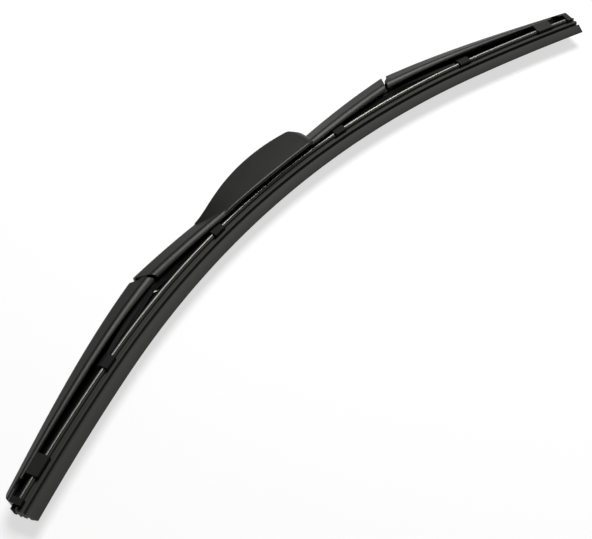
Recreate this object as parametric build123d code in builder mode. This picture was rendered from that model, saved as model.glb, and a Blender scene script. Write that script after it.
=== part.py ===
# Hybrid wiper blade, lying on its side as it rests on a table.
# X runs along the blade, Y from the rubber's lip to the covers' crest, Z along the hinge pins.
# The origin is the middle of the arm pin. Heights are measured from the steel strips' mid line.
import os
from math import copysign, cos, degrees, radians, sin

from build123d import *

# Whole blade: the strips bow in one arc between the outer claws and a flatter one beyond
blade_length = 425.0
bow_radius = 436.0
tip_bow_radius = 965.0
arm_pin_height = 10.0
running_gap = 0.05
side_gap = 0.25
assembly_gap = 0.15

# Steel strips, one in each side groove of the rubber
strip_setback = 3.9
strip_thickness = 0.9
strip_width = 2.7
strip_span = 8.0
strip_length = blade_length - 2 * strip_setback

# Rubber section, half widths and heights
head_half = 2.8
head_top = 2.0
web_gap = 0.1
web_half = strip_span / 2 - strip_width - web_gap
flange_half = 3.7
flange_base = 1.4
groove_half = 2.1
rib_half = 3.0
rib_top = 2.9
rib_base = 4.5
neck_half = 0.9
shoulder_half = 2.7
shoulder_top = 6.4
lip_half = 0.35
lip_depth = 10.8
rib_round = 0.5

# Claws that grip the rubber under its flange, placed as shares of the blade's length
claw_half = 4.9
claw_shoulder = 1.4
claw_crown_half = 3.7
claw_top = 3.5
claw_lip = 0.85
claw_length = 7.0
inner_claw_place = 0.1094 * blade_length
outer_claw_place = 0.3205 * blade_length

# Pivots between the primary lever, the yokes and the outer covers
pivot_place = (inner_claw_place + outer_claw_place) / 2
pivot_height = 10.0
pivot_radius = 1.5
bush_wall = 0.6
yoke_half = 1.75
yoke_boss_radius = 3.1
yoke_waist = 3.4

# Primary lever, pressed from sheet steel; its wide part is longer on the arm's side
sheet = 1.0
lever_half = 6.5
lever_end_half = yoke_half + assembly_gap + sheet
lever_top = 11.5
lever_base = 6.0
lever_arm_side = 25.0
lever_heel_side = 13.0
lever_taper = 18.0
lever_low_top = 8.0
lever_ear_radius = 2.6
lever_slot_start = 70.0
arm_pin_radius = 2.5
arm_pin_ear_radius = 4.2

# Cover shells: walls spread from the crest to a rounded knee and tuck in to the rim
cover_wall = 1.2
crest_half = 3.2
crest_round = 2.2
knee_rise_share = 0.2
knee_tuck_share = 0.12
knee_round_share = 0.3
joint_crest = 18.3
joint_rim = 6.6
joint_half = 7.0
arm_start = 22.0
arm_foot_place = 51.0
arm_foot_crest = 13.4
arm_foot_rim = 1.9
arm_foot_half = 7.8
cover_end = blade_length / 2 - 1.9
tip_place = cover_end - 20.6
tip_crest = 9.2
tip_rim = 3.9
tip_half = 5.6
tip_crest_half = 2.6
nose_round = 5.0
end_wall = 3.0

# Slanted notch between the arms and the outer covers
notch_crest_place = pivot_place - 0.35
notch_rim_place = pivot_place - 6.35
notch_crest_gap = 3.0
notch_rim_gap = 1.4

# Tip claw, window and end cheeks of each outer cover
tip_claw_start = cover_end - 23.6
tip_claw_end = cover_end - 13.6
window_radius = 3.4
window_height = 1.6

# Hump over the arm pin: a long slope on the arm's side, a short heel on the other
hump_half = 9.2
hump_draft = 1.5
hump_apex = 2.0
hump_top = 19.2
hump_rim = -0.6
hump_top_radius = 112.0
hump_slope_turn = 15.0
hump_slope_length = 14.5
hump_toe_radius = 40.0
hump_toe_turn = 14.0
hump_heel_place_turn = 11.6
hump_heel_radius = 3.5
hump_heel_turn = 45.0
hump_sweep_radius = 10.5
hump_sweep_turn = 55.0
hump_side_radius = 840.0
hump_side_turn = 1.7
hump_tail_radius = 100.0
hump_tail_turn = 16.0
hump_round = 1.2
hump_round_lean = 0.3
hook_window_length = 46.0
hook_window_half = 5.6

# Arm adaptor, the clip that takes a hook bent from 9 x 3 mm strip
hook_width = 9.0
hook_thickness = 3.0
hook_gap = 0.1
saddle_radius = 4.0
adaptor_tail = 22.0
adaptor_tail_half = 3.0
tongue_half = 1.3
snap_width = 4.2


def turn_at(place):
    """Angle that the strips have turned through at a length along them from the middle."""
    inner = min(abs(place), outer_claw_place)
    return copysign(inner / bow_radius + (abs(place) - inner) / tip_bow_radius, place)


def bow_at(place):
    """Radius and centre of the strips' bow at a length along them from the middle."""
    if abs(place) <= outer_claw_place:
        return bow_radius, (0, -bow_radius - arm_pin_height)
    shift = tip_bow_radius - bow_radius
    turn = turn_at(copysign(outer_claw_place, place))
    return tip_bow_radius, (-shift * sin(turn), -shift * cos(turn) - bow_radius - arm_pin_height)


def station(place, height):
    """Point at a length along the strips from the middle and a height over them."""
    radius, (x, y) = bow_at(place)
    turn = turn_at(place)
    return (x + (radius + height) * sin(turn), y + (radius + height) * cos(turn))


def cross_plane(place):
    """Plane across the blade: local X across the width, local Y up from the strips."""
    x, y = station(place, 0)
    turn = turn_at(place)
    return Plane(origin=(x, y, 0), x_dir=(0, 0, -1), z_dir=(cos(turn), -sin(turn), 0))


def bow_spans(length):
    """The three arcs of a bowed length: where each starts, its axis and the angle it turns."""
    ends = (-length / 2, -outer_claw_place, outer_claw_place, length / 2)
    for start, end in zip(ends, ends[1:]):
        radius, (x, y) = bow_at((start + end) / 2)
        yield start, Axis((x, y, 0), (0, 0, -1)), degrees((end - start) / radius)


def taper(place, start, end, start_size, end_size):
    """Size that changes evenly with place along the blade."""
    return start_size + (end_size - start_size) * (place - start) / (end - start)


def spread(start, end, count):
    """Evenly spaced places along the blade."""
    return [start + (end - start) * k / (count - 1) for k in range(count)]


def mirrored(right):
    """Closed outline from its right half, given from the top down."""
    return [*right, *((-x, y) for x, y in reversed(right))]


def knee(crest, rim, base_half):
    """Knee height and rim half width of a cover's section."""
    depth = crest - rim
    return rim + knee_rise_share * depth, base_half - knee_tuck_share * depth


def shell_section(crest, rim, top_half, base_half):
    """Outer section of a cover: rounded crest, walls that spread to a rounded knee, rims."""
    knee_height, rim_half = knee(crest, rim, base_half)
    Polygon(*mirrored([(top_half, crest), (base_half, knee_height), (rim_half, rim)]), align=None)
    fillet(vertices().group_by(Axis.Y)[1], knee_round_share * (crest - rim))
    fillet(vertices().group_by(Axis.Y)[-1], crest_round)


def hollow_section(crest, rim, top_half, base_half):
    """Inside of the same section, open below the rims."""
    knee_height, rim_half = knee(crest, rim, base_half)
    slope = (base_half - top_half) / (crest - knee_height)
    right = [
        (top_half + slope * cover_wall - cover_wall, crest - cover_wall),
        (base_half - cover_wall, knee_height),
        (rim_half - cover_wall, rim),
        (rim_half - cover_wall, rim - 2 * cover_wall),
    ]
    Polygon(*mirrored(right), align=None)


def claw_section(half, shoulder, crown_half, crown):
    """C-shaped claw round the strips and flange, with lips in the rubber's claw groove."""
    groove_base = -flange_base - side_gap
    base = groove_base - claw_lip
    strip_top = strip_thickness / 2 + side_gap
    Polygon(*mirrored([(crown_half, crown), (half, shoulder), (half, base)]), align=None)
    for room_half, low, high in (
        (groove_half + side_gap, base, groove_base),
        (strip_span / 2 + side_gap, groove_base, strip_top),
        (head_half + side_gap, strip_top, head_top + side_gap),
    ):
        with Locations((0, (low + high) / 2)):
            Rectangle(2 * room_half, high - low, mode=Mode.SUBTRACT)


def rubber_section():
    """Head, strip grooves, flange, claw groove, rib, neck and lip of the rubber."""
    strip_room = strip_thickness / 2 + assembly_gap
    right = [
        (head_half, head_top),
        (head_half, strip_room),
        (web_half, strip_room),
        (web_half, -strip_room),
        (flange_half, -strip_room),
        (flange_half, -flange_base),
        (groove_half, -flange_base - side_gap),
        (groove_half, -rib_top + side_gap),
        (rib_half, -rib_top),
        (rib_half, -rib_base),
        (neck_half, -rib_base - side_gap),
        (neck_half, -shoulder_top + side_gap),
        (shoulder_half, -shoulder_top),
        (lip_half, -lip_depth),
    ]
    Polygon(*mirrored(right), align=None)
    rib_corners = vertices().filter_by(lambda v: round(abs(v.X) - rib_half, 3) == 0)
    fillet(rib_corners, rib_round)


# Wiper rubber: one extruded section, bent with the strips
with BuildPart() as wiper_rubber:
    for start, axis, angle in bow_spans(blade_length):
        with BuildSketch(cross_plane(start)):
            rubber_section()
        revolve(axis=axis, revolution_arc=angle)

# Steel strips: flat spring steel, one in each side groove
strips = {}
for name, side in (("near_strip", -1), ("far_strip", 1)):
    with BuildPart() as strip:
        for start, axis, angle in bow_spans(strip_length):
            with BuildSketch(cross_plane(start)):
                with Locations((side * (strip_span - strip_width) / 2, 0)):
                    Rectangle(strip_width, strip_thickness)
            revolve(axis=axis, revolution_arc=angle)
    strips[name] = strip


def lever_block(inset, lower):
    """Outline of the primary lever, in side view and in plan, drawn in by a sheet thickness."""
    end = pivot_place + 2 * lever_ear_radius
    sides = ((-1, lever_arm_side), (1, lever_heel_side))
    with BuildPart() as block:
        with BuildSketch(Plane.XY):
            for side, wide in sides:
                low = wide + lever_taper
                Polygon(
                    station(0, lever_top - inset),
                    station(side * wide, lever_top - inset),
                    station(side * low, lever_low_top - inset),
                    station(side * pivot_place, pivot_height + lever_ear_radius - inset),
                    station(side * pivot_place, pivot_height - lever_ear_radius - lower),
                    station(side * inner_claw_place, lever_base - lower),
                    station(0, lever_base - lower),
                    align=None,
                )
                with Locations(station(side * pivot_place, pivot_height)):
                    Circle(lever_ear_radius)
            Circle(arm_pin_ear_radius)
        extrude(amount=lever_half, both=True)
        with BuildSketch(Plane.XZ):
            for side, wide in sides:
                half = [
                    (0, lever_half - inset),
                    (side * wide, lever_half - inset),
                    (side * (wide + lever_taper), lever_end_half - inset),
                    (side * end, lever_end_half - inset),
                ]
                Polygon(*half, *((x, -z) for x, z in reversed(half)), align=None)
        extrude(amount=2 * blade_length, both=True, mode=Mode.INTERSECT)
    return block.part


# Primary lever: a pressed channel, open at its base, forked at its ends, open over the arm pin
pivots = [station(side * pivot_place, pivot_height) for side in (1, -1)]
slot_length = pivot_place + 2 * lever_ear_radius - lever_slot_start
with BuildPart() as primary_lever:
    add(lever_block(0, 0))
    add(lever_block(sheet, lever_top), mode=Mode.SUBTRACT)
    with BuildSketch(Plane.XZ):
        with Locations(((lever_heel_side - lever_arm_side) / 2, 0)):
            Rectangle(lever_heel_side + lever_arm_side, 2 * (lever_half - sheet))
        slot_middle = lever_slot_start + slot_length / 2
        with Locations((slot_middle, 0), (-slot_middle, 0)):
            Rectangle(slot_length, 2 * (lever_end_half - sheet))
    extrude(amount=blade_length, both=True, mode=Mode.SUBTRACT)
    with BuildSketch(Plane.XY):
        Circle(arm_pin_radius + running_gap)
        with Locations(*pivots):
            Circle(pivot_radius + running_gap)
    extrude(amount=lever_half, both=True, mode=Mode.SUBTRACT)

# Arm pin: the rivet that the adaptor swings on
with BuildPart() as arm_pin:
    with BuildSketch(Plane.XY):
        Circle(arm_pin_radius)
    extrude(amount=lever_half, both=True)

# Yoke: a moulded rocker with a claw at each end and a bushed eye at its middle
with BuildPart() as right_yoke:
    with BuildSketch(Plane.XY):
        Polygon(
            station(inner_claw_place - claw_length / 2, claw_top),
            station(pivot_place - yoke_boss_radius, pivot_height),
            station(pivot_place + yoke_boss_radius, pivot_height),
            station(outer_claw_place + claw_length / 2, claw_top),
            station(outer_claw_place - claw_length / 2, head_top + side_gap),
            station(pivot_place, pivot_height - yoke_waist),
            station(inner_claw_place + claw_length / 2, head_top + side_gap),
            station(inner_claw_place - claw_length / 2, head_top + side_gap),
            align=None,
        )
        with Locations(pivots[0]):
            Circle(yoke_boss_radius)
    extrude(amount=yoke_half, both=True)
    for place in (inner_claw_place, outer_claw_place):
        with BuildSketch(cross_plane(place)):
            claw_section(claw_half, claw_shoulder, claw_crown_half, claw_top)
        extrude(amount=claw_length / 2, both=True)
    with BuildSketch(Plane.XY):
        with Locations(pivots[0]):
            Circle(pivot_radius + bush_wall + 2 * running_gap)
    extrude(amount=yoke_half, both=True, mode=Mode.SUBTRACT)

# Pivot bush: a plastic sleeve in the yoke's eye
with BuildPart() as right_pivot_bush:
    with BuildSketch(Plane.XY):
        with Locations(pivots[0]):
            Circle(pivot_radius + bush_wall + running_gap)
            Circle(pivot_radius + running_gap, mode=Mode.SUBTRACT)
    extrude(amount=yoke_half, both=True)

# Pivot pin: passes through the lever's ears into blind bosses in the outer cover
boss_start = lever_end_half + side_gap
joint_knee = knee(joint_crest, joint_rim, joint_half)[0]
joint_slope = (joint_half - crest_half) / (joint_crest - joint_knee)
wall_at_pivot = joint_half - joint_slope * (pivot_height - joint_knee) - cover_wall
pin_half = wall_at_pivot + cover_wall / 4
with BuildPart() as right_pivot_pin:
    with BuildSketch(Plane.XY):
        with Locations(pivots[0]):
            Circle(pivot_radius)
    extrude(amount=pin_half, both=True)


def outer_section(place):
    """Sizes of the outer cover's section: crest, rim, crest half width, rim half width."""
    return (
        taper(place, pivot_place, tip_place, joint_crest, tip_crest),
        taper(place, pivot_place, tip_place, joint_rim, tip_rim),
        taper(place, pivot_place, tip_place, crest_half, tip_crest_half),
        taper(place, pivot_place, tip_place, joint_half, tip_half),
    )


def arm_section(place):
    """Sizes of the arm's section between the hump and the joint."""
    return (
        taper(place, arm_foot_place, pivot_place, arm_foot_crest, joint_crest),
        max(hump_rim, taper(place, arm_foot_place, pivot_place, arm_foot_rim, joint_rim)),
        crest_half,
        taper(place, arm_foot_place, pivot_place, arm_foot_half, joint_half),
    )


def notch_outline(crest_place, rim_place, far_place):
    """Side view of all that lies beyond the slanted seam, towards far_place."""
    low = -joint_crest
    high = joint_crest * 2
    lean = (crest_place - rim_place) / (joint_crest - joint_rim)
    Polygon(
        station(rim_place + lean * (low - joint_rim), low),
        station(rim_place + lean * (high - joint_rim), high),
        station(far_place, high),
        station(far_place, low),
        align=None,
    )


# Outer cover: a tapered shell, hinged at the pivot, with a claw, window and end cheeks at its tip
cover_start = notch_rim_place - joint_rim
with BuildPart() as right_outer_cover:
    for place in spread(cover_start, cover_end, 4):
        with BuildSketch(cross_plane(place)):
            shell_section(*outer_section(place))
    loft()
    for place in spread(cover_start - joint_rim, cover_end - end_wall, 4):
        with BuildSketch(cross_plane(place)):
            hollow_section(*outer_section(place))
    loft(mode=Mode.SUBTRACT)
    for start, end in ((tip_claw_start, tip_claw_end), (cover_end - end_wall, cover_end)):
        middle = (start + end) / 2
        crest, rim, _, base_half = outer_section(middle)
        rim_half = knee(crest, rim, base_half)[1]
        with BuildSketch(cross_plane(middle)):
            claw_section(rim_half, rim, rim_half - cover_wall, rim + cover_wall)
        extrude(amount=(end - start) / 2, both=True)
    with BuildSketch(Plane.XY):
        nose_place = cover_end - nose_round
        nose_height = outer_section(cover_end)[0] - nose_round
        Polygon(
            station(nose_place, nose_height),
            station(nose_place, joint_crest),
            station(blade_length, joint_crest),
            station(blade_length, nose_height),
            align=None,
        )
        with Locations(station(nose_place, nose_height)):
            Circle(nose_round, mode=Mode.SUBTRACT)
    extrude(amount=hump_half, both=True, mode=Mode.SUBTRACT)
    with BuildSketch(Plane.XY):
        notch_outline(notch_crest_place + notch_crest_gap, notch_rim_place + notch_rim_gap, 0)
    extrude(amount=hump_half, both=True, mode=Mode.SUBTRACT)
    with BuildSketch(Plane.XY):
        with Locations(station((tip_claw_end + cover_end - end_wall) / 2, window_height)):
            Circle(window_radius)
    extrude(amount=hump_half, both=True, mode=Mode.SUBTRACT)
    for side in (1, -1):
        with BuildSketch(Plane.XY.offset(side * boss_start)):
            with Locations(pivots[0]):
                Circle(lever_ear_radius)
        extrude(amount=side * (wall_at_pivot + cover_wall / 2 - boss_start))
    with BuildSketch(Plane.XY):
        with Locations(pivots[0]):
            Circle(pivot_radius + running_gap)
    extrude(amount=pin_half + running_gap, both=True, mode=Mode.SUBTRACT)


def hump_block(inset, lower):
    """Hump in side view and in plan, drawn in by a wall thickness, its rim lowered."""
    top = hump_top - arm_pin_height
    with BuildPart() as block:
        with BuildSketch(Plane.XY):
            with BuildLine():
                crown = JernArc((hump_apex, top), (-1, 0), hump_top_radius, hump_slope_turn)
                slope = Line(crown @ 1, crown @ 1 + hump_slope_length * (crown % 1))
                toe = JernArc(slope @ 1, slope % 1, hump_toe_radius, -hump_toe_turn)
                back = JernArc((hump_apex, top), (1, 0), hump_top_radius, -hump_heel_place_turn)
                heel = JernArc(back @ 1, back % 1, hump_heel_radius, -hump_heel_turn)
                sweep_down = JernArc(heel @ 1, heel % 1, hump_sweep_radius, hump_sweep_turn)
                foot = Line(sweep_down @ 1, sweep_down @ 1 + hump_half * (sweep_down % 1))
                left = (toe @ 1).X
                right = (foot @ 1).X
                left_rim = station(left, arm_section(-left)[1] - lower)
                right_rim = station(right, arm_section(right)[1] - lower)
                Line(toe @ 1, left_rim)
                ThreePointArc(left_rim, station((left + right) / 2, hump_rim - lower), right_rim)
                Line(right_rim, foot @ 1)
            make_face()
            if inset:
                offset(amount=-inset, kind=Kind.INTERSECTION)
        extrude(amount=hump_half, both=True)
        with BuildSketch(Plane.XZ.offset(hump_half + arm_pin_height)):
            with BuildLine():
                heel_side = JernArc((0, hump_half), (1, 0), hump_side_radius, -hump_side_turn)
                nose_radius = (heel_side @ 1).Y / cos(radians(hump_side_turn))
                nose = JernArc(heel_side @ 1, heel_side % 1, nose_radius, hump_side_turn - 90)
                arm_side = JernArc((0, hump_half), (-1, 0), hump_side_radius, hump_side_turn)
                tail = JernArc(arm_side @ 1, arm_side % 1, hump_tail_radius, hump_tail_turn)
                Polyline(tail @ 1, ((tail @ 1).X, 0), nose @ 1)
            make_face()
            mirror(about=Plane.XZ)
            if inset:
                offset(amount=-inset, kind=Kind.INTERSECTION)
        extrude(amount=-hump_top - 2 * hump_half, taper=hump_draft, mode=Mode.INTERSECT)
        if not inset:
            tops = faces().filter_by(lambda f: abs(f.normal_at().Y) > hump_round_lean)
            fillet(tops.edges().filter_by(Axis.Z, reverse=True), hump_round)
    return block.part


# Centre cover: one moulding, two arms that rise to the joints and a hump over the arm pin
with BuildPart() as centre_cover:
    for side in (1, -1):
        for place in spread(arm_start, notch_crest_place, 3):
            with BuildSketch(cross_plane(side * place)):
                shell_section(*arm_section(place))
        loft()
    add(hump_block(0, 0))
    for side in (1, -1):
        for place in spread(arm_start - cover_wall, notch_crest_place, 3):
            with BuildSketch(cross_plane(side * place)):
                hollow_section(*arm_section(place))
        loft(mode=Mode.SUBTRACT)
    add(hump_block(cover_wall, 2 * cover_wall), mode=Mode.SUBTRACT)
    with BuildSketch(Plane.XZ):
        Rectangle(hook_window_length, 2 * hook_window_half)
    extrude(amount=-hump_top, mode=Mode.SUBTRACT)
    with BuildSketch(Plane.XY):
        notch_outline(notch_crest_place, notch_rim_place, blade_length / 2)
        mirror(about=Plane.YZ)
    extrude(amount=hump_half, both=True, mode=Mode.SUBTRACT)

# Arm adaptor: a clip that snaps on the arm pin; the arm's hook wraps round its saddle
hook_room_half = hook_width / 2 + hook_gap
cheek_half = lever_half - sheet - side_gap
cheek_radius = saddle_radius + hook_thickness - side_gap
with BuildPart() as arm_adaptor:
    with BuildSketch(Plane.XY):
        Circle(saddle_radius)
        with Locations((-adaptor_tail / 2, 0)):
            Rectangle(adaptor_tail, 2 * tongue_half)
    extrude(amount=hook_room_half, both=True)
    for side in (1, -1):
        with BuildSketch(Plane.XY.offset(side * hook_room_half)):
            Circle(cheek_radius)
            Polygon(
                (0, cheek_radius),
                (-adaptor_tail, adaptor_tail_half),
                (-adaptor_tail, -adaptor_tail_half),
                (0, -cheek_radius),
                align=None,
            )
        extrude(amount=side * (cheek_half - hook_room_half))
    with BuildSketch(Plane.XY):
        Circle(arm_pin_radius + running_gap)
        with Locations((0, -cheek_radius / 2)):
            Rectangle(snap_width, cheek_radius)
    extrude(amount=cheek_half, both=True, mode=Mode.SUBTRACT)

# Left half: the yoke, bush, pin and outer cover mirrored across the middle
with BuildPart() as left_yoke:
    mirror(right_yoke.part, about=Plane.YZ)

with BuildPart() as left_pivot_bush:
    mirror(right_pivot_bush.part, about=Plane.YZ)

with BuildPart() as left_pivot_pin:
    mirror(right_pivot_pin.part, about=Plane.YZ)

with BuildPart() as left_outer_cover:
    mirror(right_outer_cover.part, about=Plane.YZ)

os.makedirs("parts", exist_ok=True)
nodes = {
    "centre_cover": centre_cover,
    "primary_lever": primary_lever,
    "arm_pin": arm_pin,
    "arm_adaptor": arm_adaptor,
    "left_yoke": left_yoke,
    "right_yoke": right_yoke,
    "left_pivot_bush": left_pivot_bush,
    "right_pivot_bush": right_pivot_bush,
    "left_pivot_pin": left_pivot_pin,
    "right_pivot_pin": right_pivot_pin,
    "left_outer_cover": left_outer_cover,
    "right_outer_cover": right_outer_cover,
    "wiper_rubber": wiper_rubber,
    "near_strip": strips["near_strip"],
    "far_strip": strips["far_strip"],
}
for name, node in nodes.items():
    node.part.label = name
    export_step(node.part, f"parts/{name}.step")
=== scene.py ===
from math import copysign, cos, pi, sin, tan

import bpy
from mathutils import Matrix, Vector


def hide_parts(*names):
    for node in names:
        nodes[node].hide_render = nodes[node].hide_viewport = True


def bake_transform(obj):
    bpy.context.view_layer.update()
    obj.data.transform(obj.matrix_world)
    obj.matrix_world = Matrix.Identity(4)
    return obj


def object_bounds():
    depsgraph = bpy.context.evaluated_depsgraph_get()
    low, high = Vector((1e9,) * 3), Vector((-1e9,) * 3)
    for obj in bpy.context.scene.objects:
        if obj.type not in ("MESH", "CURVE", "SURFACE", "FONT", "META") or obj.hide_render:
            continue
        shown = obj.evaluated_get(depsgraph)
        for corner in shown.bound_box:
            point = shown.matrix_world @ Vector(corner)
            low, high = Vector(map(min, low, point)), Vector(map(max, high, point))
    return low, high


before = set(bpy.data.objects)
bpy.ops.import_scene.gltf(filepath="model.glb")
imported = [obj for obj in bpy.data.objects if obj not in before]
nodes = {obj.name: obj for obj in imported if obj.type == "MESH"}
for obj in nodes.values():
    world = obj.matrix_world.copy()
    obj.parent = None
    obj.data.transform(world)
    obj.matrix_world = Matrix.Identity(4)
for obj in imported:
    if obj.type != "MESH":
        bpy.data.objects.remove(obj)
cad_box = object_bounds()
bpy.context.scene.view_settings.view_transform = "Standard"


# Primary lever: a channel pressed from sheet steel, open over the arm pin and
# forked at both ends, then dipped in black paint that dries a little cloudy.
def add_node(tree, kind, links=(), **values):
    """Node with its properties and its inputs set; an input is given a value or the socket that feeds it."""
    node = tree.nodes.new(kind)
    for label, value in values.items():
        setattr(node, label, value)
    for socket, source in links:
        if isinstance(source, bpy.types.NodeSocket):
            tree.links.new(source, node.inputs[socket])
        else:
            node.inputs[socket].default_value = source
    return node


def effect_group(name, inputs, outputs):
    """Shader node group; each socket is given as its label and its kind, Float or Color."""
    tree = bpy.data.node_groups.new(name, "ShaderNodeTree")
    for way, sockets in (("INPUT", inputs), ("OUTPUT", outputs)):
        for label, kind in sockets.items():
            tree.interface.new_socket(label, in_out=way, socket_type="NodeSocket" + kind)
    return tree, tree.nodes.new("NodeGroupInput").outputs, tree.nodes.new("NodeGroupOutput").inputs


def moulded_grain_group():
    # Fine grain and faint cloudy flow marks of a moulded or dipped skin
    tree, given, result = effect_group(
        "moulded_grain",
        inputs={"Grain Scale": "Float"},
        outputs={"Grain": "Float", "Cloud": "Float"},
    )
    cloud_scale = 60.0
    place = add_node(tree, "ShaderNodeTexCoord").outputs["Object"]
    grain = add_node(
        tree,
        "ShaderNodeTexNoise",
        [("Vector", place), ("Scale", given["Grain Scale"]), ("Detail", 2.0), ("Roughness", 0.6)],
    )
    cloud = add_node(
        tree,
        "ShaderNodeTexNoise",
        [("Vector", place), ("Scale", cloud_scale), ("Detail", 3.0), ("Roughness", 0.5)],
    )
    tree.links.new(grain.outputs["Fac"], result["Grain"])
    tree.links.new(cloud.outputs["Fac"], result["Cloud"])
    return tree


def shader_of(material):
    return material.node_tree.nodes["Principled BSDF"].inputs


def skin_material(name, effect, grain_scale, grain_depth, dark, pale, smooth, rough):
    """Material whose colour and roughness drift with the effect's cloud and whose bump is its grain."""
    material = bpy.data.materials.new(name)
    material.use_nodes = True
    tree = material.node_tree
    shader = shader_of(material)
    skin = add_node(tree, "ShaderNodeGroup", [("Grain Scale", grain_scale)], node_tree=effect)
    grain, cloud = skin.outputs["Grain"], skin.outputs["Cloud"]
    tint = add_node(
        tree,
        "ShaderNodeMix",
        [("Factor", cloud), ("A", (*dark, 1)), ("B", (*pale, 1))],
        data_type="RGBA",
    )
    sheen = add_node(tree, "ShaderNodeMapRange", [("Value", cloud), ("To Min", smooth), ("To Max", rough)])
    bump = add_node(tree, "ShaderNodeBump", [("Height", grain), ("Distance", grain_depth), ("Strength", 1.0)])
    tree.links.new(tint.outputs["Result"], shader["Base Color"])
    tree.links.new(sheen.outputs["Result"], shader["Roughness"])
    tree.links.new(bump.outputs["Normal"], shader["Normal"])
    return material


def coat(node_names, material):
    for name in node_names:
        mesh = nodes[name].data
        mesh.materials.clear()
        mesh.materials.append(material)


moulded_grain = moulded_grain_group()
lever_paint = skin_material(
    "lever_paint",
    moulded_grain,
    grain_scale=1500.0,
    grain_depth=0.00001,
    dark=(0.008, 0.008, 0.008),
    pale=(0.012, 0.012, 0.012),
    smooth=0.28,
    rough=0.4,
)
coat(["primary_lever"], lever_paint)


# Arm pin and pivot pins: plain turned steel, blackened in a phosphate bath and pressed through
# the lever. The pivot pins run on into blind bosses of the outer covers.
pin_steel = skin_material(
    "pin_steel",
    moulded_grain,
    grain_scale=3000.0,
    grain_depth=0.000005,
    dark=(0.05, 0.05, 0.048),
    pale=(0.08, 0.08, 0.076),
    smooth=0.32,
    rough=0.46,
)
shader_of(pin_steel)["Metallic"].default_value = 1.0
coat(["arm_pin", "left_pivot_pin", "right_pivot_pin"], pin_steel)


# Pivot bushes: thin sleeves of dark self-oiling plastic, pressed into the yokes,
# which rock with them on the pivot pins.
bush_plastic = skin_material(
    "bush_plastic",
    moulded_grain,
    grain_scale=2000.0,
    grain_depth=0.000005,
    dark=(0.02, 0.02, 0.02),
    pale=(0.03, 0.03, 0.03),
    smooth=0.32,
    rough=0.42,
)
coat(["left_pivot_bush", "right_pivot_bush"], bush_plastic)


# Yokes: rockers moulded in glass-filled nylon, which leaves them dull,
# each with a claw at both ends that slides on the rubber.
# The yokes' colour is a little darker than the covers', as painted shade for the hollow under the covers that
# they sit in.
yoke_nylon = skin_material(
    "yoke_nylon",
    moulded_grain,
    grain_scale=2200.0,
    grain_depth=0.00003,
    dark=(0.006, 0.006, 0.006),
    pale=(0.009, 0.009, 0.009),
    smooth=0.6,
    rough=0.75,
)
shader_of(yoke_nylon)["Specular IOR Level"].default_value = 0.2
coat(["left_yoke", "right_yoke"], yoke_nylon)


# Steel strips: two flat springs, rolled and drawn, that lie in the rubber's side grooves and give the
# blade its bow. Each is a bent sweep of its section, in four lengths that part at the middle and
# under the outer claws.
bow_radius = 0.436
tip_bow_radius = 0.965
pin_height = 0.010
inner_claw_place = 0.0465
outer_claw_place = 0.1362125
tip_claw_place = 0.187
claw_half_length = 0.0035
middle_hold = 0.005
outer_claw_hold = 0.0045
sweep_step = 0.0015


def turn_at(place):
    inner = min(abs(place), outer_claw_place)
    return copysign(inner / bow_radius + (abs(place) - inner) / tip_bow_radius, place)


def bow_at(place):
    """Radius and centre of the arc that the strips follow at a length from their middle."""
    middle = Vector((0, -bow_radius - pin_height, 0))
    if abs(place) <= outer_claw_place:
        return bow_radius, middle
    turn = turn_at(copysign(outer_claw_place, place))
    return tip_bow_radius, middle - (tip_bow_radius - bow_radius) * Vector((sin(turn), cos(turn), 0))


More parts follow.
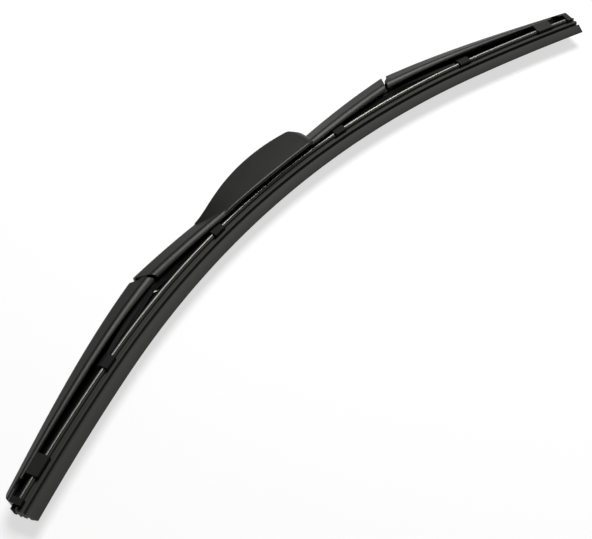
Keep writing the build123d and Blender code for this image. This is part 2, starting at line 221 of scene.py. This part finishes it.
def bent_sweep_tree():
    tree = bpy.data.node_groups.new("bent_sweep", "GeometryNodeTree")
    tree.is_modifier = True
    sockets = tree.interface
    sockets.new_socket("Section", in_out="INPUT", socket_type="NodeSocketGeometry")
    for label in ("Bow Radius", "Start Turn", "End Turn", "End Run", "Step"):
        sockets.new_socket(label, in_out="INPUT", socket_type="NodeSocketFloat")
    sockets.new_socket("Bow Centre", in_out="INPUT", socket_type="NodeSocketVector")
    sockets.new_socket("Finish", in_out="INPUT", socket_type="NodeSocketMaterial")
    sockets.new_socket("Sweep", in_out="OUTPUT", socket_type="NodeSocketGeometry")
    given = tree.nodes.new("NodeGroupInput").outputs
    result = tree.nodes.new("NodeGroupOutput")

    def calculate(kind, first, second):
        return add_node(tree, "ShaderNodeMath", [(0, first), (1, second)], operation=kind).outputs[0]

    # Path along the bow
    sweep = calculate("SUBTRACT", given["End Turn"], given["Start Turn"])
    length = calculate("MULTIPLY", sweep, given["Bow Radius"])
    count = calculate("CEIL", calculate("DIVIDE", length, given["Step"]), 0.0)
    path = add_node(
        tree,
        "GeometryNodeCurveArc",
        [
            ("Resolution", calculate("ADD", count, 1.0)),
            ("Radius", given["Bow Radius"]),
            ("Start Angle", calculate("SUBTRACT", pi / 2, given["End Turn"])),
            ("Sweep Angle", sweep),
        ],
        mode="RADIUS",
    )
    placed = add_node(
        tree,
        "GeometryNodeTransform",
        [("Geometry", path.outputs["Curve"]), ("Translation", given["Bow Centre"])],
    )
    run = add_node(tree, "GeometryNodeSplineParameter").outputs["Length"]
    kept_run = add_node(tree, "GeometryNodeCaptureAttribute", [("Geometry", placed.outputs["Geometry"])])
    kept_run.capture_items.new("FLOAT", "Run")
    tree.links.new(run, kept_run.inputs["Run"])

    # Section, with each point's length round it and its height
    outline = add_node(tree, "GeometryNodeMeshToCurve", [("Mesh", given["Section"])])
    kept_girth = add_node(tree, "GeometryNodeCaptureAttribute", [("Geometry", outline.outputs["Curve"])])
    kept_girth.capture_items.new("FLOAT", "Girth")
    kept_girth.capture_items.new("FLOAT", "Rise")
    tree.links.new(run, kept_girth.inputs["Girth"])
    spot = add_node(tree, "GeometryNodeInputPosition").outputs["Position"]
    rise = add_node(tree, "ShaderNodeSeparateXYZ", [("Vector", spot)]).outputs["X"]
    tree.links.new(rise, kept_girth.inputs["Rise"])

    # Skin, its UV map and its height attribute
    skin = add_node(
        tree,
        "GeometryNodeCurveToMesh",
        [
            ("Curve", kept_run.outputs["Geometry"]),
            ("Profile Curve", kept_girth.outputs["Geometry"]),
            ("Fill Caps", True),
        ],
    )
    flat = add_node(
        tree,
        "ShaderNodeCombineXYZ",
        [
            ("X", calculate("SUBTRACT", given["End Run"], kept_run.outputs["Run"])),
            ("Y", kept_girth.outputs["Girth"]),
        ],
    )
    mapped = add_node(
        tree,
        "GeometryNodeStoreNamedAttribute",
        [("Geometry", skin.outputs["Mesh"]), ("Name", "run_girth"), ("Value", flat.outputs[0])],
        data_type="FLOAT2",
        domain="CORNER",
    )
    marked = add_node(
        tree,
        "GeometryNodeStoreNamedAttribute",
        [("Geometry", mapped.outputs["Geometry"]), ("Name", "rise"), ("Value", kept_girth.outputs["Rise"])],
        data_type="FLOAT",
        domain="POINT",
    )
    solid = add_node(tree, "GeometryNodeRealizeInstances", [("Geometry", marked.outputs["Geometry"])])
    finished = add_node(
        tree,
        "GeometryNodeSetMaterial",
        [("Geometry", solid.outputs["Geometry"]), ("Material", given["Finish"])],
    )
    tree.links.new(finished.outputs["Geometry"], result.inputs["Sweep"])
    return tree


bent_sweep = bent_sweep_tree()


def rounded_outline(corners, radius, steps=3):
    """Section outline with each corner rounded, as far as its two edges leave room."""
    edge_share = 0.45
    points = []
    count = len(corners)
    for k in range(count):
        here = Vector(corners[k])
        back = Vector(corners[k - 1]) - here
        ahead = Vector(corners[(k + 1) % count]) - here
        half_angle = back.angle(ahead) / 2
        run = min(radius / tan(half_angle), back.length * edge_share, ahead.length * edge_share)
        start = here + back.normalized() * run
        end = here + ahead.normalized() * run
        for step in range(steps + 1):
            t = step / steps
            points.append(start * (1 - t) ** 2 + here * 2 * t * (1 - t) + end * t * t)
    return points


def swept_piece(name, outline, start, end, material, smooth_angle):
    mesh = bpy.data.meshes.new(name + "_section")
    edges = [(k, (k + 1) % len(outline)) for k in range(len(outline))]
    mesh.from_pydata([(height, width, 0) for width, height in outline], edges, [])
    maker = bpy.data.objects.new(name + "_maker", mesh)
    bpy.context.scene.collection.objects.link(maker)
    modifier = maker.modifiers.new("bent_sweep", "NODES")
    modifier.node_group = bent_sweep
    radius, centre = bow_at((start + end) / 2)
    sizes = {
        "Bow Radius": radius,
        "Bow Centre": centre,
        "Start Turn": turn_at(start),
        "End Turn": turn_at(end),
        "End Run": end,
        "Step": sweep_step,
        "Finish": material,
    }
    for item in bent_sweep.interface.items_tree:
        if item.in_out == "INPUT" and item.name in sizes:
            modifier[item.identifier] = sizes[item.name]
    bpy.context.view_layer.update()
    made = bpy.data.meshes.new_from_object(maker.evaluated_get(bpy.context.evaluated_depsgraph_get()))
    bpy.data.objects.remove(maker)
    made.name = name
    made.shade_smooth()
    made.set_sharp_from_angle(angle=smooth_angle)
    piece = bpy.data.objects.new(name, made)
    bpy.context.scene.collection.objects.link(piece)
    return piece


# Lengths of one side: name, start, end, the two bodies it bends between, and where the bend starts and ends
span_bend = (middle_hold, inner_claw_place - claw_half_length)
tip_bend = (outer_claw_place + outer_claw_hold, tip_claw_place)
side_lengths = (
    ("span", 0.0, outer_claw_place, "centre", "{}_rocker", span_bend),
    ("tip", outer_claw_place, None, "{}_rocker", "{}_wing", tip_bend),
)


def four_lengths(node, label, outline, half_length, material, smooth_angle):
    for side, sign in (("left", -1), ("right", 1)):
        for part, start, end, near_body, far_body, bend in side_lengths:
            reach = sorted((sign * start, sign * (end or half_length)))
            piece = swept_piece(f"{side}_{label}_{part}", outline, *reach, material, smooth_angle)
            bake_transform(piece)
            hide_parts(node)


def drawn_lines_group():
    # Fine lines along the blade, as drawing or extruding leaves them
    tree, given, result = effect_group(
        "drawn_lines",
        inputs={"Grain Scale": "Float"},
        outputs={"Grain": "Float", "Cloud": "Float"},
    )
    share_along = 0.01
    place = add_node(tree, "ShaderNodeUVMap", uv_map="run_girth").outputs["UV"]
    across = given["Grain Scale"]
    along = add_node(tree, "ShaderNodeMath", [(0, across), (1, share_along)], operation="MULTIPLY").outputs[0]
    stretch = add_node(tree, "ShaderNodeCombineXYZ", [("X", along), ("Y", across), ("Z", 1.0)]).outputs[0]
    drawn = add_node(tree, "ShaderNodeVectorMath", [(0, place), (1, stretch)], operation="MULTIPLY")
    lines = add_node(
        tree,
        "ShaderNodeTexNoise",
        [("Vector", drawn.outputs[0]), ("Scale", 1.0), ("Detail", 3.0)],
    )
    for label in ("Grain", "Cloud"):
        tree.links.new(lines.outputs["Fac"], result[label])
    return tree


drawn_lines = drawn_lines_group()
strip_steel = skin_material(
    "strip_steel",
    drawn_lines,
    grain_scale=9000.0,
    grain_depth=0.000004,
    dark=(0.26, 0.252, 0.23),
    pale=(0.35, 0.337, 0.306),
    smooth=0.28,
    rough=0.42,
)
shader_of(strip_steel)["Metallic"].default_value = 1.0
strip_half_length = 0.2086
strip_span = 0.008
strip_width = 0.0027
strip_thickness = 0.0009
strip_edge_radius = 0.00015
strip_smooth_angle = 0.9
for node, sign in (("near_strip", 1), ("far_strip", -1)):
    inner = sign * (strip_span / 2 - strip_width)
    outer = sign * strip_span / 2
    low, high = -strip_thickness / 2, strip_thickness / 2
    corners = [(inner, low), (outer, low), (outer, high), (inner, high)]
    outline = rounded_outline(corners, strip_edge_radius)
    four_lengths(node, node, outline, strip_half_length, strip_steel, strip_smooth_angle)


# Wiper rubber: one extruded section with a head, side grooves for the strips, a claw groove,
# a rib, a thin neck that lets the lip flip over, and the wiping lip. The claws hold it.
# Its corners are half widths and heights from the strips' mid line, in millimetres.
rubber_half_length = 0.2125
rubber_edge_radius = 0.00025
rubber_smooth_angle = 0.6
head_foot, head_shoulder = 0.0, 0.0008
rubber_side = [
    (2.8, 2.0), (2.8, 0.6), (1.2, 0.6), (1.2, -0.6), (3.7, -0.6), (3.7, -1.4), (2.1, -1.65), (2.1, -2.65),
    (3.0, -2.9), (3.0, -4.5), (0.9, -4.75), (0.9, -6.15), (2.7, -6.4), (0.35, -10.8),
]
rubber_corners = [(x / 1000, y / 1000) for x, y in rubber_side]
rubber_corners += [(-x, y) for x, y in reversed(rubber_corners)]
black_rubber = skin_material(
    "black_rubber",
    drawn_lines,
    grain_scale=2500.0,
    grain_depth=0.00002,
    dark=(0.0275, 0.028, 0.0238),
    pale=(0.038, 0.0388, 0.0332),
    smooth=0.5,
    rough=0.62,
)
shader_of(black_rubber)["Specular IOR Level"].default_value = 0.2


def dull_painted_shade_group():
    # Painted shade: skin made deep black, and dull, where the mask is 1
    tree, given, result = effect_group(
        "dull_painted_shade",
        inputs={"Mask": "Float", "Colour": "Color", "Sheen": "Float"},
        outputs={"Colour": "Color", "Sheen": "Float"},
    )
    painted_shade_black = (0.002, 0.002, 0.002, 1)
    dull = 0.95
    colour = add_node(
        tree,
        "ShaderNodeMix",
        [("Factor", given["Mask"]), ("A", given["Colour"]), ("B", painted_shade_black)],
        data_type="RGBA",
    )
    sheen = add_node(tree, "ShaderNodeMix", [("Factor", given["Mask"]), ("A", given["Sheen"]), ("B", dull)])
    tree.links.new(colour.outputs["Result"], result["Colour"])
    tree.links.new(sheen.outputs["Result"], result["Sheen"])
    return tree


dull_painted_shade = dull_painted_shade_group()


def paint_dull_shade(material, value, clear, full):
    """Paints shade over a material's skin as deep black, and makes it dull, from none at one value of a
    socket to all of it at another.
    """
    tree = material.node_tree
    shader = shader_of(material)
    shade_mask = add_node(tree, "ShaderNodeMapRange", [("Value", value), ("From Min", clear), ("From Max", full)])
    dull_shade_node = add_node(tree, "ShaderNodeGroup", [("Mask", shade_mask.outputs["Result"])], node_tree=dull_painted_shade)
    for label, socket in (("Colour", shader["Base Color"]), ("Sheen", shader["Roughness"])):
        tree.links.new(socket.links[0].from_socket, dull_shade_node.inputs[label])
        tree.links.new(dull_shade_node.outputs[label], socket)


# The head above the strips, which lies under the covers, is painted deep black as shade and made dull; the
# lip keeps the rubber's colour
rise = add_node(black_rubber.node_tree, "ShaderNodeAttribute", attribute_name="rise").outputs["Fac"]
paint_dull_shade(black_rubber, rise, clear=head_foot, full=head_shoulder)
outline = rounded_outline(rubber_corners, rubber_edge_radius)
four_lengths(
    "wiper_rubber",
    "rubber",
    outline,
    rubber_half_length,
    black_rubber,
    rubber_smooth_angle,
)


# Covers: matt black mouldings with a fine spark-eroded grain. The centre cover is one shell with
# the hump, clipped over the lever; the outer covers hinge on the pivot pins.
cover_plastic = skin_material(
    "cover_plastic",
    moulded_grain,
    grain_scale=2600.0,
    grain_depth=0.00003,
    dark=(0.007, 0.0071, 0.0055),
    pale=(0.01, 0.0101, 0.0079),
    smooth=0.36,
    rough=0.44,
)
shader_of(cover_plastic)["Specular IOR Level"].default_value = 0.33
# The faces inside the shells, which look towards the middle, are painted deep black as shade and made dull
tree = cover_plastic.node_tree
place = add_node(tree, "ShaderNodeTexCoord").outputs["Object"]
facing = add_node(tree, "ShaderNodeNewGeometry").outputs["Normal"]
place_z = add_node(tree, "ShaderNodeSeparateXYZ", [("Vector", place)]).outputs["Z"]
facing_z = add_node(tree, "ShaderNodeSeparateXYZ", [("Vector", facing)]).outputs["Z"]
outward = add_node(tree, "ShaderNodeMath", [(0, place_z), (1, facing_z)], operation="MULTIPLY").outputs[0]
inside_shade_start, inside_shade_full = -0.001, -0.003
paint_dull_shade(cover_plastic, outward, clear=inside_shade_start, full=inside_shade_full)
coat(["centre_cover", "left_outer_cover", "right_outer_cover"], cover_plastic)


# Arm adaptor: a smooth clip moulded in black acetal, which snaps on the arm pin
# and takes the hook of the wiper arm.
adaptor_plastic = skin_material(
    "adaptor_plastic",
    moulded_grain,
    grain_scale=2000.0,
    grain_depth=0.00001,
    dark=(0.014, 0.014, 0.014),
    pale=(0.02, 0.02, 0.02),
    smooth=0.35,
    rough=0.45,
)
coat(["arm_adaptor"], adaptor_plastic)


# Table: a round sheet of white paper under the blade, whose rim curves up into a low wall.
# It glows a little where the camera or a reflection sees it, so that it looks white.
floor_gap = 0.0002
floor_level = cad_box[0][2] - floor_gap
floor_radius = 4.0
cove_radius = 1.2
wall_height = 0.7
cove_steps = 8
spokes = 96
cove_turns = [k * pi / 2 / cove_steps for k in range(cove_steps + 1)]
rings = [(floor_radius + cove_radius * sin(turn), cove_radius * (1 - cos(turn))) for turn in cove_turns]
rings.append((floor_radius + cove_radius, cove_radius + wall_height))
spoke_turns = [2 * pi * k / spokes for k in range(spokes)]
floor_points = [
    (radius * cos(turn), radius * sin(turn), floor_level + height)
    for radius, height in rings
    for turn in spoke_turns
]
floor_faces = [tuple(range(spokes))]
for k in range(spokes * (len(rings) - 1)):
    ahead = k + 1 if (k + 1) % spokes else k + 1 - spokes
    floor_faces.append((k + spokes, ahead + spokes, ahead, k))
floor_mesh = bpy.data.meshes.new("floor")
floor_mesh.from_pydata(floor_points, [], floor_faces)
floor_mesh.shade_smooth()
floor = bpy.data.objects.new("floor", floor_mesh)
bpy.context.scene.collection.objects.link(floor)

paper_white = (0.8, 0.8, 0.8, 1)
seen_white = (0.4, 0.4, 0.4, 1)
seen_glow = 0.48
camera_glow = 0.19
floor_paper = bpy.data.materials.new("floor_paper")
floor_paper.use_nodes = True
tree = floor_paper.node_tree
shader = shader_of(floor_paper)
shader["Roughness"].default_value = 0.9
shader["Specular IOR Level"].default_value = 0.0
shader["Emission Color"].default_value = (1, 1, 1, 1)
ray = add_node(tree, "ShaderNodeLightPath").outputs
seen = ray["Is Camera Ray"]
for kind in ("Is Glossy Ray", "Is Transmission Ray"):
    seen = add_node(tree, "ShaderNodeMath", [(0, seen), (1, ray[kind])], operation="MAXIMUM").outputs[0]
paper = add_node(
    tree,
    "ShaderNodeMix",
    [("Factor", seen), ("A", paper_white), ("B", seen_white)],
    data_type="RGBA",
)
shared_glow = add_node(tree, "ShaderNodeMath", [(0, seen), (1, seen_glow)], operation="MULTIPLY").outputs[0]
glow = add_node(
    tree,
    "ShaderNodeMath",
    [(0, ray["Is Camera Ray"]), (1, camera_glow), (2, shared_glow)],
    operation="MULTIPLY_ADD",
)
tree.links.new(paper.outputs["Result"], shader["Base Color"])
tree.links.new(glow.outputs[0], shader["Emission Strength"])
floor_mesh.materials.append(floor_paper)


# Light: one soft box above the right end, in a dim grey room
world = bpy.data.worlds.new("studio")
world.use_nodes = True
world.node_tree.nodes["Background"].inputs["Color"].default_value = (0.06, 0.06, 0.06, 1)
bpy.context.scene.world = world
lamp = bpy.data.lights.new("top_light", "AREA")
lamp.size = 0.6
lamp.energy = 14.0
lamp_place = Vector((0.5, 0.1, 1.05))
lamp_aim = Vector((0, -0.02, 0))
lamp_holder = bpy.data.objects.new("top_light", lamp)
lamp_holder.location = lamp_place
lamp_holder.rotation_euler = (lamp_aim - lamp_place).to_track_quat("-Z", "Y").to_euler()
bpy.context.scene.collection.objects.link(lamp_holder)


# Camera: above the lip side, nearer the left end, rolled a little
camera_data = bpy.data.cameras.new("camera")
camera_data.sensor_width = 36.0
camera_data.lens = 54.73
camera_data.clip_start = 0.01
camera_place = Vector((-0.21495, -0.27156, 0.34388))
camera_right = Vector((0.68543, -0.72224, -0.09246))
camera_up = Vector((0.60705, 0.49671, 0.62030))
camera_back = camera_right.cross(camera_up)
camera_turn = Matrix((camera_right, camera_up, camera_back)).transposed().to_4x4()
camera = bpy.data.objects.new("camera", camera_data)
camera.matrix_world = Matrix.Translation(camera_place) @ camera_turn
bpy.context.scene.collection.objects.link(camera)
bpy.context.scene.camera = camera
